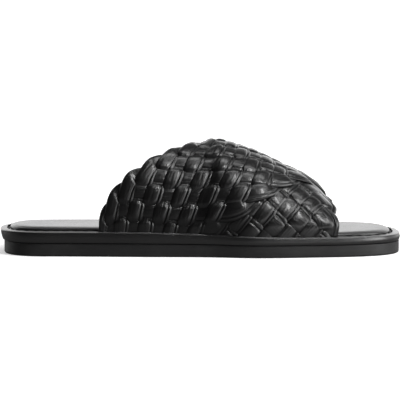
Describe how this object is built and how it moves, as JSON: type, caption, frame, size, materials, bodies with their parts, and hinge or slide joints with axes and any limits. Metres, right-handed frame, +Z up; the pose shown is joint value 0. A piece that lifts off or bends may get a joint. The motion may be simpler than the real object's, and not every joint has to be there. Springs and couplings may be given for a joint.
{
  "type": "slide sandal",
  "caption": "Flat open-toed and open-heeled slide sandal for the right foot, with wide crossed braided leather straps over the instep and a padded insole.",
  "frame": {"origin": "on the floor under the middle of the sole's box", "axes": "+X to the toe, +Y to the medial side, +Z up"},
  "size_m": [0.2578, 0.0916, 0.073],
  "materials": {
    "outsole_rubber": "satin black",
    "rim_leather": "smooth semi-gloss black",
    "insole_leather": "smooth semi-gloss black",
    "braid_leather": "soft semi-gloss black"
  },
  "bodies": {
    "root": {"outsole": "outsole_rubber", "midsole": "rim_leather", "insole": "insole_leather", "upper": "braid_leather"}
  },
  "joints": []
}
